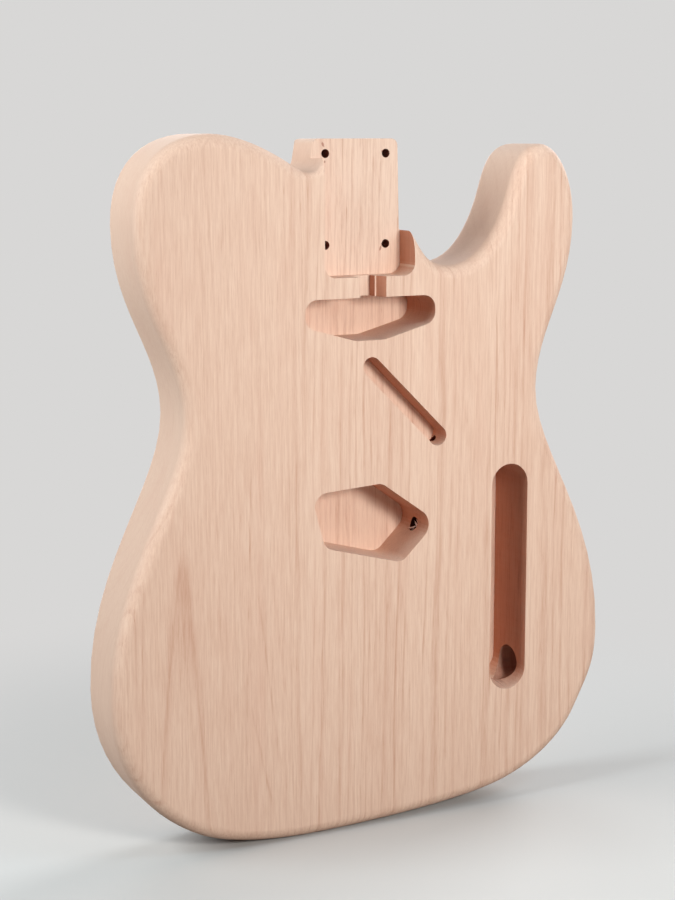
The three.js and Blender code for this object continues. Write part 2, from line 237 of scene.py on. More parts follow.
class Sheet:
    """The node tree of a material or of the world."""

    def __init__(self, owner: bpy.types.Material | bpy.types.World) -> None:
        """Clears the owner's node tree.

        Args:
            owner: What the nodes belong to.
        """
        owner.use_nodes = True
        self.owner = owner
        self.tree = owner.node_tree
        self.tree.nodes.clear()

    def node(
        self,
        kind: str,
        settings: dict[str, object] | None = None,
        inputs: dict[int | str, object] | None = None,
        output: int | str = 0,
    ) -> Signal | None:
        """Adds a node.

        Args:
            kind: The node's type.
            settings: Its properties, set before the inputs.
            inputs: Values or signals by socket name or number.
            output: The socket that is handed back.

        Returns:
            The output as a signal, or None for a node that has no output.
        """
        made = self.tree.nodes.new(kind)
        for key, value in (settings or {}).items():
            setattr(made, key, value)
        for key, value in (inputs or {}).items():
            if isinstance(value, Signal):
                self.tree.links.new(value.socket, made.inputs[key])
            else:
                made.inputs[key].default_value = value
        return Signal(self, made.outputs[output]) if made.outputs else None

    def number(self, value: float) -> Signal:
        """Gives a plain number, for a sum to start from."""
        start = self.node("ShaderNodeValue")
        start.socket.default_value = value
        return start

    def point(self) -> Signal:
        """Gives the place on the body in millimetres from the neck screws."""
        place = self.node("ShaderNodeTexCoord", output="Object")
        return self.node(
            "ShaderNodeVectorMath",
            {"operation": "MULTIPLY_ADD"},
            {0: place, 1: (1 / MM, 1 / MM, 1 / MM), 2: tuple(-WORK.place(0, 0, 0) / MM)},
        )

    def split(self, vector: Signal) -> tuple[Signal, Signal, Signal]:
        """Takes a vector apart.

        Args:
            vector: What is split.

        Returns:
            Its three parts.
        """
        first = self.node("ShaderNodeSeparateXYZ", inputs={0: vector})
        outputs = first.socket.node.outputs
        return first, Signal(self, outputs[1]), Signal(self, outputs[2])

    def stretched(self, vector: Signal, size: Triple, shift: Triple) -> Signal:
        """Divides a place by a size along each axis.

        Args:
            vector: The place.
            size: The length along each axis that becomes 1.
            shift: What is added afterwards, so that patterns differ.

        Returns:
            The scaled place.
        """
        return self.node(
            "ShaderNodeVectorMath",
            {"operation": "MULTIPLY_ADD"},
            {0: vector, 1: tuple(1 / length for length in size), 2: shift},
        )

    def noise(self, vector: Signal, detail: float, rough: float) -> Signal:
        """Gives smooth noise, about -1 to 1, with features of size 1.

        Args:
            vector: The place, already scaled.
            detail: Octaves.
            rough: How strong the finer octaves are.

        Returns:
            The noise.
        """
        made = self.node(
            "ShaderNodeTexNoise",
            {"noise_dimensions": "3D", "normalize": True},
            {"Vector": vector, "Scale": 1.0, "Detail": detail, "Roughness": rough},
        )
        # The node's own values lie mostly between a quarter and three quarters.
        return (made - 0.5) * 4.0

    def tint(self, share: Signal, first: "Signal | Triple", second: "Signal | Triple") -> Signal:
        """Mixes two colours.

        Args:
            share: How much of the second.
            first: The colour at share 0.
            second: The colour at share 1.

        Returns:
            The mixed colour.
        """
        ends = [c if isinstance(c, Signal) else (*c, 1.0) for c in (first, second)]
        return self.node(
            "ShaderNodeMix",
            {"data_type": "RGBA", "clamp_factor": True},
            {0: share, 6: ends[0], 7: ends[1]},
            output=2,
        )

    def mark(self, name: Mark) -> Signal:
        """Reads how strongly a face carries a mark."""
        settings = {"attribute_type": "GEOMETRY", "attribute_name": name.value}
        return self.node("ShaderNodeAttribute", settings, output="Fac")


@dataclass(frozen=True)
class Wave:
    """One noise pattern: its reach across, into and along the plank in millimetres."""

    reach: Triple
    octaves: float = 2.0
    rough: float = 0.5

    def draw(self, sheet: Sheet, place: Signal, shift: Triple) -> Signal:
        """Draws the pattern.

        Args:
            sheet: The material's sheet.
            place: The place in millimetres.
            shift: What sets this pattern apart from others of the same reach.

        Returns:
            The noise, about -1 to 1.
        """
        return sheet.noise(sheet.stretched(place, self.reach, shift), self.octaves, self.rough)


@dataclass(frozen=True)
class PoreLine:
    """A dark line of open grain that runs along the face. Lengths are millimetres."""

    top: Pair
    foot: Pair
    width: float = 0.9
    bow: float = 0.0
    strength: float = 0.12
    wobble: float = 0.35
    fade_in: Pair = (-0.02, 0.12)
    fade_out: Pair = (1.05, 0.8)
    steady: float = 0.7
    varying: float = 0.9

    def draw(self, x: Signal, z: Signal, wave: Signal, gaps: Signal) -> Signal:
        """Draws the line.

        Args:
            x: Distance across the plank.
            z: Height on the plank.
            wave: What the line wobbles with.
            gaps: What breaks it up along its length.

        Returns:
            How dark it makes the wood, 0 beside it.
        """
        down = (self.top[1] - z) / (self.top[1] - self.foot[1])
        bend = down * (1 - down) * (4 * self.bow)
        centre = down * (self.foot[0] - self.top[0]) + bend + self.top[0]
        near = abs(x - centre + wave * self.wobble).ramp(self.width, 0.0)
        mask = near * down.ramp(*self.fade_in) * down.ramp(*self.fade_out)
        return mask * (gaps * self.varying + self.steady).most(0.0) * self.strength


@dataclass(frozen=True)
class Streak:
    """A soft band of darker or paler wood that runs along the plank. Lengths are millimetres."""

    middle: float
    half_width: float
    lowest: float
    highest: float
    strength: float
    calm: float = 0.0
    wobble: float = 0.8
    fade: float = 40.0

    def mask(self, x: Signal, z: Signal, wave: Signal) -> Signal:
        """Draws the band.

        Args:
            x: Distance across the plank.
            z: Height on the plank.
            wave: What the band wobbles with.

        Returns:
            1 in the middle of the band, 0 outside it.
        """
        near = abs(x - self.middle + wave * self.wobble).ramp(self.half_width, 0.0)
        near = near * z.ramp(self.lowest, self.lowest + self.fade)
        return near * z.ramp(self.highest, self.highest - self.fade)


@dataclass(frozen=True)
class TornSpot:
    """A small dark tear in the grain beside a hole. Lengths are millimetres."""

    across: float
    up: float
    half_width: float
    half_length: float
    lean: float = 0.0
    rag: float = 0.3
    edge: Pair = (1.1, 0.5)

    def mask(self, x: Signal, z: Signal, ragged: Signal) -> Signal:
        """Draws the tear.

        Args:
            x: Distance across the plank.
            z: Height on the plank.
            ragged: What the tear's edge follows.

        Returns:
            1 in the tear, 0 outside it.
        """
        off_x = (x - self.across + (z - self.up) * self.lean) / self.half_width
        off_z = (z - self.up) / self.half_length
        return ((off_x * off_x + off_z * off_z).root() + ragged * self.rag).ramp(*self.edge)


@dataclass(frozen=True)
class Torn:
    """The torn grain round the neck's screw holes. Lengths are millimetres."""

    spots: tuple[TornSpot, ...] = ()
    holes: Pair | None = None
    hole_radius: float = 2.5
    fuzz_width: Pair = (1.9, 0.6)
    fuzz_patches: Pair = (-1.0, 0.6)
    rag: float = 0.35
    depths: Pair = (32.0, 24.0)
    dark: float = 0.75
    ragged: Wave = Wave((1.1, 1.1, 1.6))

    def draw(self, sheet: Sheet, place: Signal, seed: float) -> tuple[Signal, Signal]:
        """Draws the tears.

        Args:
            sheet: The material's sheet.
            place: The place in millimetres.
            seed: The plank's seed.

        Returns:
            The dark tears and the pale fuzz round the holes, each from 0 to 1.
        """
        x, y, z = sheet.split(place)
        ragged = self.ragged.draw(sheet, place, (seed, 2, 5))
        dark = fuzz = sheet.number(0.0)
        if self.holes is not None:
            off_x, off_z = abs(x) - self.holes[0], abs(z) - self.holes[1]
            off = (off_x * off_x + off_z * off_z).root() + ragged * self.rag
            fuzz = off.ramp(*(self.hole_radius + width for width in self.fuzz_width))
            fuzz = fuzz * ragged.ramp(*self.fuzz_patches)
        for spot in self.spots:
            dark = dark.most(spot.mask(x, z, ragged) * self.dark)
        return dark * y.ramp(*self.depths), fuzz


@dataclass(frozen=True)
class Years:
    """How the growth rings look. Lengths are millimetres, swings are years.

    The waves season, year and vigour reach over years outward, and vigour also over height.
    """

    ring: float
    depth: float
    wander: float = 1.6
    quick_share: float = 0.2
    lean_from: float = 190.0
    slow: Wave = Wave((60, 60, 170), 1.0)
    quick: Wave = Wave((11, 11, 55))
    season: Wave = Wave((4, 1, 1), 1.0)
    year: Wave = Wave((1, 1, 1), 1.0)
    vigour: Wave = Wave((1, 1, 70), 2.0, 0.6)
    season_swing: float = 1.1
    year_swing: float = 0.3
    late_rise: Pair = (0.5, 0.86)
    late_fall: Pair = (1.0, 0.9)
    late_steady: float = 0.9
    late_varying: float = 0.8
    year_depth: float = 0.3
    early_pale: float = 0.2


@dataclass(frozen=True)
class Weights:
    """How strongly each pattern shows. Each is a share of the wood's colour, of the router walls'
    tint, which is partly painted shade, or of the painted light and painted shade on route floors
    and in holes.
    """

    line: float = 0.7
    fibre: float = 0.34
    pores: float = 0.34
    late_pores: float = 0.5
    early_pores: float = 0.55
    cloud: float = 0.035
    end_grain: float = 0.05
    # How much paler route floors and walls that face up are drawn: painted light.
    painted_light_lift: float = 0.08
    edge_stripes: float = 0.2
    edge_fibre: float = 0.4
    fresh_fibre: float = 0.5
    least_stripes: float = 0.1
    rosy: float = 0.3
    # How far route floors and walls that face up are tinted toward the pale colour: painted light.
    clean: float = 0.1
    # How strongly router walls take their tint, which is partly the cut wood's colour and partly
    # painted shade.
    wall: float = 0.84
    wall_fibre: float = 0.12
    wall_chatter: float = 0.03
    streak_fibre: float = 0.6
    streak_stripes: float = 0.8
    streak_pale: float = 0.15
    fuzz: float = 0.55
    # How dark the tears round the screw holes are, and how strong the painted shade inside the holes
    # is.
    torn: float = 0.85


@dataclass(frozen=True)
class Relief:
    """How the surface rises and how dull it is."""

    strength: float = 0.3
    height: float = 0.04 * MM
    fibre: float = 0.4
    tear: float = 3.0
    chatter: float = 0.5
    roughness: float = 0.62
    rough_fibre: float = 0.04
    rough_pores: float = 0.1
    gloss: float = 0.25


@dataclass
class Patterns:
    """The patterns of one plank's wood, each drawn once on its sheet."""

    stripes: Signal
    fibre: Signal
    pores: Signal
    chatter: Signal
    lines: Signal
    calm: Signal
    cloud: Signal
    warmth: Signal
    tear: Signal
    fuzz: Signal
    flat: Signal
    end_grain: Signal
    # Router walls' tint, partly the cut wood's colour and partly painted shade.
    routed: Signal
    # Painted shade inside holes.
    drilled: Signal
    # Painted light on route floors and on walls that face up.
    fresh: Signal


@dataclass(frozen=True)
class WoodFinish:
    """The colour and the figure of one plank. Lengths are millimetres."""

    name: str
    heart: Pair
    lean: Pair
    years: Years
    seed: float
    pale: Triple = linear(233, 200, 179)
    dark: Triple = linear(194, 143, 119)
    rosy: Triple = linear(217, 172, 151)
    # Pale colour of route floors and walls that face up: painted light.
    clean: Triple = linear(240, 218, 203)
    # Router walls' red-brown: partly the cut wood's colour, partly painted shade.
    wall_tint_and_shade: Triple = linear(202, 133, 103)
    # Dark red-brown of the walls' grain streaks and of the tears, and painted shade inside the
    # holes.
    dark_cut_and_shade: Triple = linear(140, 66, 46)
    # Near black: deeper painted shade inside the bridge pickup's wire hole.
    deep_hole_shade: Triple = linear(34, 14, 10)
    base: float = 0.22
    pore_lines: tuple[PoreLine, ...] = ()
    streaks: tuple[Streak, ...] = ()
    torn: Torn = Torn()
    weights: Weights = Weights()
    relief: Relief = Relief()
    fibre: Wave = Wave((1.05, 1.05, 27), 4.0, 0.8)
    dash: Wave = Wave((0.8, 0.8, 14), 2.0, 0.6)
    cloud: Wave = Wave((26, 26, 140))
    warmth: Wave = Wave((13, 13, 170))
    chatter: Wave = Wave((1.2, 30, 1.2))
    line_wobble: Wave = Wave((6, 30, 22), 1.0)
    line_gaps: Wave = Wave((1.5, 20, 17), 3.0, 0.6)
    dash_from: Pair = (0.3, 1.1)
    rosy_from: Pair = (-0.2, 1.4)
    flat_from: Pair = (0.1, 0.85)
    end_from: Pair = (0.6, 1.0)

    def rings(self, sheet: Sheet, place: Signal) -> Signal:
        """Works out how many years from the heart of the tree a place grew.

        Args:
            sheet: The material's sheet.
            place: The place in millimetres.

        Returns:
            The number of years, with the log's slow waves.
        """
        years = self.years
        x, y, z = sheet.split(place)
        seed = (self.seed, self.seed * 1.7, self.seed * 0.6)
        slow = years.slow.draw(sheet, place, seed)
        quick = years.quick.draw(sheet, place, seed)
        across = x - (z + years.lean_from) * self.lean[0] - self.heart[0]
        across = across + slow * years.wander + quick * (years.wander * years.quick_share)
        into = y - (z + years.lean_from) * self.lean[1] - self.heart[1]
        return (across * across + into * into).root() / years.ring

    def growth(self, sheet: Sheet, place: Signal) -> tuple[Signal, Signal]:
        """Draws the years as soft stripes.

        Args:
            sheet: The material's sheet.
            place: The place in millimetres.

        Returns:
            How dark the stripes make the wood, about 0, and where late wood is, 0 to 1.
        """
        years = self.years
        turn = self.rings(sheet, place)
        height = sheet.split(place)[2]
        outward = sheet.node("ShaderNodeCombineXYZ", inputs={0: turn})
        rising = sheet.node("ShaderNodeCombineXYZ", inputs={0: turn, 2: height})
        season = years.season.draw(sheet, outward, (0, self.seed + 5, 0))
        year = years.year.draw(sheet, outward, (0, self.seed, 0))
        vigour = years.vigour.draw(sheet, rising, (0, 7, 0))
        phase = (turn + season * years.season_swing + year * years.year_swing).fraction()
        late = phase.ramp(*years.late_rise) * phase.ramp(*years.late_fall)
        depth = late * (vigour * years.late_varying + years.late_steady)
        depth = depth + year * years.year_depth - years.early_pale
        return depth * years.depth, late

    def figure(self, sheet: Sheet, place: Signal) -> tuple[Signal, Signal]:
        """Draws the single pore lines and the soft streaks.

        Args:
            sheet: The material's sheet.
            place: The place in millimetres.

        Returns:
            How dark they make the wood, and how much they calm the stripes.
        """
        x, _, z = sheet.split(place)
        wave = self.line_wobble.draw(sheet, place, (self.seed, 3, 9))
        gaps = self.line_gaps.draw(sheet, place, (self.seed, 7, 1))
        total = calm = sheet.number(0.0)
        for line in self.pore_lines:
            total = total + line.draw(x, z, wave, gaps)
        for streak in self.streaks:
            mask = streak.mask(x, z, wave)
            total = total + mask * streak.strength
            calm = calm + mask * streak.calm
        return total, calm

    def patterns(self, sheet: Sheet) -> Patterns:
        """Draws all patterns of the wood.

        Args:
            sheet: The material's sheet.

        Returns:
            The patterns.
        """
        place = sheet.point()
        weights = self.weights
        seed = (self.seed, self.seed * 0.7, self.seed * 1.3)
        stripes, late = self.growth(sheet, place)
        dash = self.dash.draw(sheet, place, (seed[1], 4, 2))
        lines, calm = self.figure(sheet, place)
        tear, fuzz = self.torn.draw(sheet, place, self.seed)
        _, side, up = sheet.split(sheet.node("ShaderNodeNewGeometry", output="Normal"))
        flat = abs(side).ramp(*self.flat_from)
        return Patterns(
            stripes=stripes,
            fibre=self.fibre.draw(sheet, place, seed),
            pores=dash.ramp(*self.dash_from) * (late * weights.late_pores + weights.early_pores),
            chatter=self.chatter.draw(sheet, place, seed),
            lines=lines,
            calm=calm,
            cloud=self.cloud.draw(sheet, place, seed),
            warmth=self.warmth.draw(sheet, place, (seed[2], 8, 3)),
            tear=tear,
            fuzz=fuzz,
            flat=flat,
            end_grain=abs(up).ramp(*self.end_from) * (1 - flat),
            routed=sheet.mark(Mark.ROUTED_AND_SHADE),
            drilled=sheet.mark(Mark.HOLE_SHADE),
            fresh=sheet.mark(Mark.CUT_PAINTED_LIGHT),
        )

    def grown(self, sheet: Sheet, seen: Patterns) -> Signal:
        """Mixes the colour of the wood as it grew.

        Args:
            sheet: The material's sheet.
            seen: The wood's patterns.

        Returns:
            The colour before any tool's mark.
        """
        share = self.weights
        stripes = seen.stripes * (1 - seen.calm).most(share.least_stripes) + seen.lines * share.line
        dark = stripes * (seen.flat * (1 - share.edge_stripes) + share.edge_stripes)
        fine = seen.flat * (1 - share.edge_fibre) + seen.fresh * share.fresh_fibre + share.edge_fibre
        dark = dark + (seen.fibre * share.fibre + seen.pores * share.pores) * fine
        dark = dark + seen.cloud * share.cloud + seen.end_grain * share.end_grain
        # Route floors and walls that face up are drawn paler: painted light.
        dark = dark - seen.fresh * share.painted_light_lift + self.base
        colour = sheet.tint(dark, self.pale, self.dark)
        return sheet.tint(seen.warmth.ramp(*self.rosy_from) * share.rosy, colour, self.rosy)

    def tooled(self, sheet: Sheet, seen: Patterns, colour: Signal) -> Signal:
        """Adds painted light on route floors and walls that face up, the router walls' tint, partly
        the cut wood's colour and partly painted shade, the fuzz and tears round the holes, and
        painted shade inside the holes.

        Args:
            sheet: The material's sheet.
            seen: The wood's patterns.
            colour: The colour of the wood as it grew.

        Returns:
            The finished colour.
        """
        share = self.weights
        # Painted light: route floors and walls that face up turn paler.
        colour = sheet.tint(seen.fresh * share.clean, colour, self.clean)
        # Router walls take a darker red tint: partly the cut wood's colour, partly painted shade.
        wall = seen.chatter * share.wall_chatter + seen.fibre * share.wall_fibre + share.wall
        streaks = seen.fibre * share.streak_fibre + seen.stripes * share.streak_stripes
        streaked = sheet.tint(streaks - share.streak_pale, self.wall_tint_and_shade, self.dark_cut_and_shade)
        colour = sheet.tint(seen.routed * wall, colour, streaked)
        colour = sheet.tint(seen.fuzz * share.fuzz, colour, self.pale)
        # Tears round the screw holes, and painted shade inside the holes.
        colour = sheet.tint(seen.tear.most(seen.drilled) * share.torn, colour, self.dark_cut_and_shade)
        # Deeper painted shade, near black, inside the bridge pickup's wire hole.
        return sheet.tint(seen.drilled - 1, colour, self.deep_hole_shade)

    def make(self) -> bpy.types.Material:
        """Builds the material.

        Returns:
            The plank's wood.
        """
        sheet = Sheet(bpy.data.materials.new(self.name))
        seen = self.patterns(sheet)
        relief = self.relief
        height = seen.fibre * relief.fibre - seen.pores - seen.tear * relief.tear
        height = height + seen.routed * seen.chatter * relief.chatter
        bump = {"Strength": relief.strength, "Distance": relief.height, "Height": height}
        dull = seen.fibre * relief.rough_fibre + seen.pores * relief.rough_pores + relief.roughness
        shader = sheet.node(
            "ShaderNodeBsdfPrincipled",
            None,
            {
                "Base Color": self.tooled(sheet, seen, self.grown(sheet, seen)),
                "Roughness": dull,
                "Specular IOR Level": relief.gloss,
                "Normal": sheet.node("ShaderNodeBump", None, bump),
            },
        )
        sheet.node("ShaderNodeOutputMaterial", None, {"Surface": shader})
        return sheet.owner


@dataclass(frozen=True)
class Workings:
    """Tells which faces a router or a drill left, and how much of the walls' tint, which is partly
    painted shade, of painted light on route floors and of painted shade inside holes each takes.
    Lengths are millimetres.

    The values facing, aslant and side_on are cosines of the angle that a face is turned by.
    """

    near: float = 4.6
    near_pocket: float = 1.7
    skin: float = 0.6
    below_floor: float = 0.6
    facing: float = 0.9
    aslant: float = 0.5
    side_on: float = 0.3
    open_sides: tuple[str, ...] = ("cutaway", "heel_hollow")
    pocket: str = "neck_pocket"
    # Bored holes with the strength of painted shade inside each; above 1 it turns near black.
    bored_shade: tuple[tuple[str, float], ...] = (("jack_hole", 0.6), ("bridge_wire_hole", 1.8))
    screw_radius: float = 2.8
    pocket_floor: float = 18.4
    wire_line: tuple[Triple, Triple] = ((1.0, 12.5, -93.2), (44.0, 12.5, -135.7))
    wire_radius: float = 2.45
    # Painted shade inside the wire line, strong enough to turn near black.
    wire_shade: float = 1.5

    def boxes(self) -> Iterator[tuple[str, Vector, Vector, float]]:
        """Lists the openings that tools cut into the body.

        Yields:
            The opening's name, its lowest and highest corner, and how near to it counts.
        """
        for opening in frame["record"]["physics"]["openings"]:
            name = opening["name"]
            if name.startswith(self.open_sides):
                continue
            low, high = (WORK.measure(Vector(corner)) for corner in opening["box_m"])
            near = self.near_pocket if name.startswith(self.pocket) else self.near
            yield name, low, high, near

    def routed(self, middle: Vector, normal: Vector) -> Pair:
        """Tells how much of the router walls' tint and of the route floors' painted light a face
        takes.

        Args:
            middle: The face's middle.
            normal: Where it faces.

        Returns:
            How much of the walls' tint a face takes, partly the cut wood's colour and partly painted
            shade, and how much painted light, as on a floor or a wall that faces up. Both are 0 on
            any other face.
        """
        if middle.y < self.skin:
            return 0.0, 0.0
        for name, low, high, near in self.boxes():
            if ((low + high) / 2 - middle).dot(normal) < 0:
                continue
            inside = low.x - near < middle.x < high.x + near
            inside = inside and low.z - near < middle.z < high.z + near
            inside = inside and middle.y < high.y + self.below_floor
            if name in dict(self.bored_shade):
                inside = inside and abs(normal.x) < self.aslant
            if inside:
                # Floors get all of the painted light, and walls get as much as they face up.
                clean = 1.0 if abs(normal.y) > self.facing else max(0.0, normal.z)
                return 1 - clean, clean
        return 0.0, 0.0

    def drilled(self, middle: Vector, normal: Vector) -> float:
        """Tells how much painted shade a face inside a hole takes.

        Args:
            middle: The face's middle.
            normal: Where it faces.

        Returns:
            1 inside a neck screw's hole, the hole's own share in the others, 0 elsewhere.
        """
        off = math.hypot(abs(middle.x) - NECK_SCREWS[0], abs(middle.z) - NECK_SCREWS[1])
        inside = off < self.screw_radius and middle.y > self.pocket_floor
        if inside and abs(normal.y) < self.aslant:
            return 1.0
        start, end = (Vector(point) for point in self.wire_line)
        along = (end - start).normalized()
        off_line = (middle - start).cross(along).length
        if off_line < self.wire_radius and abs(normal.dot(along)) < self.side_on:
            return self.wire_shade
        for name, low, high, _ in self.boxes():
            share = dict(self.bored_shade).get(name, 0.0) if abs(normal.x) < self.side_on else 0.0
            across = (middle - (low + high) / 2).yz.length
            if share and low.x < middle.x < high.x and across < high.z - low.z:
                return share
        return 0.0


@dataclass
class Plank:
    """One plank of the body: its solid's copy with eased edges and its own wood."""

    name: str
    node: str
    slot: str
    finish: WoodFinish
    glue_lines: Pair
    ease: float = 0.35 * MM
    ease_steps: int = 2
    ease_profile: float = 0.5
    weld: float = 0.002 * MM
    corner: float = math.radians(40)
    crease: float = math.radians(34)
    flatness: float = math.radians(0.4)
    most_sides: int = 4
    on_line: float = 0.01 * MM
    workings: Workings = field(default_factory=Workings)

    def on_glue_line(self, edge: bmesh.types.BMEdge) -> bool:
        """Tells whether an edge lies where two planks are glued.

        Args:
            edge: An edge of the plank's mesh.

        Returns:
            True if both its ends are on a glue line.
        """
        return any(
            all(abs(vert.co.x - line) < self.on_line for vert in edge.verts)
            for line in self.glue_lines
        )

    def ease_edges(self, work: bmesh.types.BMesh) -> int:
        """Breaks the sharp edges that tools left, all but those on a glue line.

        Args:
            work: The plank's mesh.

        Returns:
            How many edges were eased.
        """
        sharp = [
            edge
            for edge in work.edges
            if edge.is_manifold
            and edge.is_convex
            and edge.calc_face_angle(0.0) > self.corner
            and not self.on_glue_line(edge)
        ]
        bmesh.ops.bevel(
            work,
            geom=sharp,
            offset=self.ease,
            offset_type="OFFSET",
            segments=self.ease_steps,
            profile=self.ease_profile,
            affect="EDGES",
            clamp_overlap=True,
        )
        return len(sharp)

    def mark_faces(self, work: bmesh.types.BMesh) -> None:
        """Notes on each face how much of the router walls' tint (partly painted shade), of painted
        light and of painted shade inside holes it takes.

        Args:
            work: The plank's mesh.
        """
        routed = work.faces.layers.float.new(Mark.ROUTED_AND_SHADE.value)
        drilled = work.faces.layers.float.new(Mark.HOLE_SHADE.value)
        fresh = work.faces.layers.float.new(Mark.CUT_PAINTED_LIGHT.value)
        for face in work.faces:
            middle = WORK.measure(face.calc_center_median())
            face[routed], face[fresh] = self.workings.routed(middle, face.normal)
            face[drilled] = self.workings.drilled(middle, face.normal)

    def corner_normals(self, work: bmesh.types.BMesh) -> list[Vector]:
        """Works out how each face corner is shaded, so that large flats stay flat.

        Args:
            work: The plank's mesh.

        Returns:
            One normal per face corner: the mean of the smooth neighbours by their areas.
        """
        area = {face: face.calc_area() for face in work.faces}
        normals = []
        for face in work.faces:
            for corner in face.loops:
                total = Vector()
                for other in corner.vert.link_faces:
                    if face.normal.angle(other.normal, math.pi) < self.crease:
                        total += other.normal * area[other]
                normals.append(total.normalized())
        return normals

    def shape(self) -> bpy.types.Mesh:
        """Copies the solid, eases its edges and marks what the tools cut.

        Returns:
            The plank's mesh.
        """
        mesh = bpy.data.meshes.new(self.name)
        work = bmesh.new()
        work.from_mesh(frame["nodes"][self.node].data)
        bmesh.ops.remove_doubles(work, verts=work.verts, dist=self.weld)
        bmesh.ops.dissolve_limit(
            work,
            angle_limit=self.flatness,
            use_dissolve_boundaries=False,
            verts=work.verts,
            edges=work.edges,
        )
        eased = self.ease_edges(work)
        many = [face for face in work.faces if len(face.verts) > self.most_sides]
        bmesh.ops.triangulate(work, faces=many)
        work.normal_update()
        self.mark_faces(work)
        for face in work.faces:
            face.smooth = True
            face.material_index = 0
        normals = self.corner_normals(work)
        work.to_mesh(mesh)
        work.free()
        mesh.normals_split_custom_set(normals)
        LOG.info("%s: %d faces, %d eased edges", self.name, len(mesh.polygons), eased)
        return mesh

    def dress(self, mesh: bpy.types.Mesh) -> None:
        """Gives the mesh its wood."""
        mesh.materials.append(self.finish.make())

    def build(self) -> bpy.types.Object:
        """Makes the plank.

        Returns:
            The plank, riding on the body in place of its solid.
        """
        mesh = self.shape()
        self.dress(mesh)
        plank = bpy.data.objects.new(self.name, mesh)
        bpy.context.scene.collection.objects.link(plank)
        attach(plank, BODY)
        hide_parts(self.node)
        return plank


@dataclass(frozen=True)
class Sliver:
    """One torn fibre: where it is rooted, where it points, and its size in millimetres."""

    root: Triple
    tip: Triple
    width: float
    thickness: float
    sag: float = 0.4


@dataclass
class TornHole:
    """The splinters that the drill left in the mouth of the bridge pickup's wire hole."""

    finish: WoodFinish
    name: str = "wire_hole_splinters"
    slot: str = "centre_wood"
    rows: int = 5
    taper_power: float = 1.6
    tip_share: float = 0.3
    slivers: tuple[Sliver, ...] = (
        Sliver((36.6, 20.4, -193.4), (38.0, 13.6, -190.6), 2.3, 1.0),
        Sliver((38.6, 12.8, -192.6), (37.8, 16.4, -188.0), 1.9, 0.9),
        Sliver((37.4, 18.0, -194.4), (37.6, 16.2, -191.4), 1.5, 0.8),
        Sliver((38.8, 12.9, -189.8), (37.9, 14.6, -186.8), 0.9, 0.5),
    )

    def sliver(self, work: bmesh.types.BMesh, shape: Sliver) -> None:
        """Adds one tapered splinter as a closed body.

        Args:
            work: The mesh that it is added to.
            shape: Its place and size.
        """
        root = WORK.place(*shape.root)
        tip = WORK.place(*shape.tip)
        along = (tip - root).normalized()
        across = along.cross(Vector((0, 1, 0))).normalized()
        out = across.cross(along).normalized()
        rows = []
        for step in range(self.rows):
            share = step / self.rows
            taper = 1 - share**self.taper_power
            middle = root.lerp(tip, share) - out * (shape.sag * MM * math.sin(math.pi * share))
            half = across * (shape.width * MM / 2 * taper)
            full = self.tip_share + (1 - self.tip_share) * taper
            rise = out * (shape.thickness * MM / 2 * full)
            places = (middle - half, middle - rise, middle + half, middle + rise)
            rows.append([work.verts.new(place) for place in places])
        end = work.verts.new(tip)
        work.faces.new(list(reversed(rows[0])))
        for row, after in zip(rows, rows[1:]):
            for i in range(4):
                j = (i + 1) % 4
                work.faces.new((row[i], row[j], after[j], after[i]))
        for i in range(4):
            work.faces.new((rows[-1][i], rows[-1][(i + 1) % 4], end))

    def shape(self) -> bpy.types.Mesh:
        """Models the splinters.

        Returns:
            Their mesh.
        """
        work = bmesh.new()
        for shape in self.slivers:
            self.sliver(work, shape)
        bmesh.ops.recalc_face_normals(work, faces=work.faces)
        mesh = bpy.data.meshes.new(self.name)
        work.to_mesh(mesh)
        work.free()
        return mesh

    def dress(self, mesh: bpy.types.Mesh) -> None:
        """Gives the mesh its wood."""
        mesh.materials.append(self.finish.make())

    def build(self) -> bpy.types.Object:
        """Makes the splinters.

        Returns:
            The splinters as one piece that rides on the body.
        """
        mesh = self.shape()
        self.dress(mesh)
        piece = bpy.data.objects.new(self.name, mesh)
        bpy.context.scene.collection.objects.link(piece)
        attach(piece, BODY)
        LOG.info("%s: %d splinters", self.name, len(self.slivers))
        return piece


def bass_wood() -> WoodFinish:
    """The bass plank's wood: flat sawn low down, with pointed lines, and calm above.

    Returns:
        The finish.
    """
    return WoodFinish(
        "bass_wood",
        heart=(-116, 38.1),
        lean=(0.0, 0.0195),
        years=Years(ring=3.8, depth=0.2, wander=1.4),
        seed=3.1,
        pore_lines=(
            PoreLine((-116, -190), (-131, -335), 1.5, -1.2, 0.3),
            PoreLine((-114.5, -190), (-102.5, -340), 1.5, 0.8, 0.33),
            PoreLine((-74, -135), (-79.5, -340), 0.9, 0.0, 0.4),
            PoreLine((-72.5, -203), (-58, -320), 1.3, 0.4, 0.36),
            PoreLine((-64, -188), (-52, -300), 1.2, 0.3, 0.22),
            PoreLine((-76, -278), (-61, -350), 1.3, 0.0, 0.34),
            PoreLine((-86, -110), (-85, -245), 0.9, 0.6, 0.2),
            PoreLine((-90, -225), (-92, -320), 0.9, 0.0, 0.18),
            PoreLine((-101.5, -60), (-101, -225), 0.9, 0.5, 0.2),
            PoreLine((-46, -190), (-43, -270), 1.0, 0.0, 0.2),
        ),
        streaks=(
            Streak(-114.5, 5.5, -285, -172, 0.25),
            Streak(-59, 13.0, -400, 60, -0.06, 0.8),
            Streak(-84, 26.0, -400, 60, 0.0, 0.85),
            Streak(-114, 26.0, -400, -150, 0.05),
            Streak(-122, 34.0, -165, 60, 0.0, 1.2),
        ),
    )


